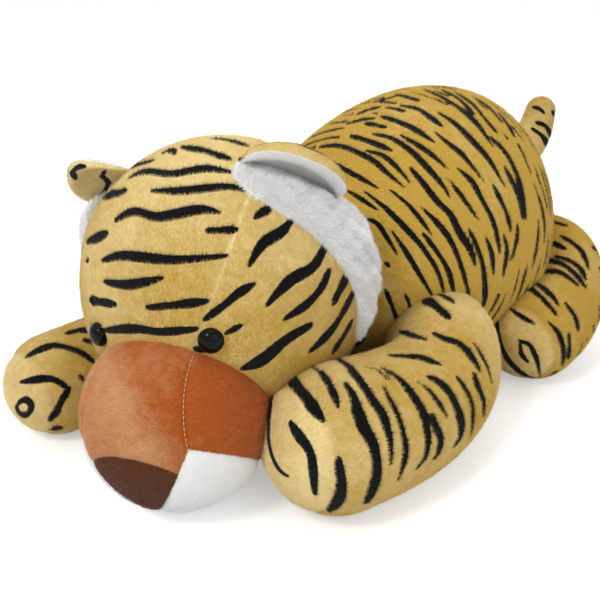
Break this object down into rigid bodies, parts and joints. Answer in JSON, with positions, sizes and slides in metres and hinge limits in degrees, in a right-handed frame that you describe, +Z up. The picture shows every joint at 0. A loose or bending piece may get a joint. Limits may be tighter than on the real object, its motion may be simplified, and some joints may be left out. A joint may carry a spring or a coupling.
{
  "type": "plush tiger",
  "caption": "Large stuffed plush tiger lying on its belly, head turned, with sewn panels and legs, ears, head and tail that flex at their seams.",
  "frame": {"origin": "on the flat of the belly that rests on the floor, on the body's middle plane, below the middle of the body", "axes": "+Z up, the tiger's body faces -Y, its left side is +X"},
  "size_m": [0.4043, 0.6645, 0.2992],
  "materials": {
    "striped_plush": "short golden pile with black stripes",
    "white_plush": "white pile",
    "rust_plush": "short rust-brown pile",
    "brown_plush": "short dark brown pile",
    "fibre": "loose stuffing fibre",
    "black_gloss": "moulded, glossy",
    "washer": "moulded, plain"
  },
  "bodies": {
    "torso": {"torso_skin": "striped_plush", "torso_stuffing": "fibre"},
    "head": {"forehead_panel": "striped_plush", "head_side_left": "striped_plush", "head_side_right": "striped_plush", "muzzle_bridge": "rust_plush", "muzzle_side_left": "rust_plush", "muzzle_side_right": "rust_plush", "nose_patch": "brown_plush", "chin_left": "white_plush", "chin_right": "white_plush", "head_stuffing": "fibre", "eye_left": "black_gloss", "eye_right": "black_gloss", "eye_washer_left": "washer", "eye_washer_right": "washer", "cheek_ruff_left": "white_plush", "cheek_ruff_right": "white_plush"},
    "ear_left": {"ear_lining_left": "white_plush", "ear_back_left": "striped_plush"},
    "ear_right": {"ear_lining_right": "white_plush", "ear_back_right": "striped_plush"},
    "front_leg_left": {"front_leg_left_skin": "striped_plush", "front_leg_left_sole": "striped_plush", "front_leg_left_stuffing": "fibre"},
    "front_leg_right": {"front_leg_right_skin": "striped_plush", "front_leg_right_sole": "striped_plush", "front_leg_right_stuffing": "fibre"},
    "hind_leg_left": {"hind_leg_left_skin": "striped_plush", "hind_leg_left_sole": "striped_plush", "hind_leg_left_stuffing": "fibre"},
    "hind_leg_right": {"hind_leg_right_skin": "striped_plush", "hind_leg_right_sole": "striped_plush", "hind_leg_right_stuffing": "fibre"},
    "tail": {"tail_skin": "striped_plush", "tail_stuffing": "fibre"}
  },
  "joints": [
    {"name": "neck_nod", "type": "hinge", "parent": "torso", "child": "head", "pos_m": [0, -0.142, 0.15], "axis": [-1, 0, 0], "range_deg": [0, 7], "stiffness_Nm_per_rad": 1.5},
    {"name": "front_leg_left_splay", "type": "hinge", "parent": "torso", "child": "front_leg_left", "pos_m": [0.118, -0.064, 0.1], "axis": [0, 0, 1], "range_deg": [0, 20], "stiffness_Nm_per_rad": 0.3},
    {"name": "front_leg_right_splay", "type": "hinge", "parent": "torso", "child": "front_leg_right", "pos_m": [-0.118, -0.064, 0.1], "axis": [0, 0, -1], "range_deg": [0, 20], "stiffness_Nm_per_rad": 0.3},
    {"name": "hind_leg_left_splay", "type": "hinge", "parent": "torso", "child": "hind_leg_left", "pos_m": [0.07, 0.14, 0.1], "axis": [0, 0, 1], "range_deg": [0, 20], "stiffness_Nm_per_rad": 0.3},
    {"name": "hind_leg_right_splay", "type": "hinge", "parent": "torso", "child": "hind_leg_right", "pos_m": [-0.07, 0.14, 0.1], "axis": [0, 0, -1], "range_deg": [0, 20], "stiffness_Nm_per_rad": 0.3},
    {"name": "tail_swing", "type": "hinge", "parent": "torso", "child": "tail", "pos_m": [0, 0.146, 0.19], "axis": [-1, 0, 0], "range_deg": [0, 20], "stiffness_Nm_per_rad": 0.25},
    {"name": "ear_left_fold", "type": "hinge", "parent": "head", "child": "ear_left", "pos_m": [0.0688, -0.2595, 0.2639], "axis": [0.4164, 0.809, -0.4149], "range_deg": [-20, 10], "stiffness_Nm_per_rad": 0.03},
    {"name": "ear_right_fold", "type": "hinge", "parent": "head", "child": "ear_right", "pos_m": [-0.0814, -0.3321, 0.2372], "axis": [-0.7431, 0.2486, -0.6213], "range_deg": [-20, 10], "stiffness_Nm_per_rad": 0.03}
  ]
}
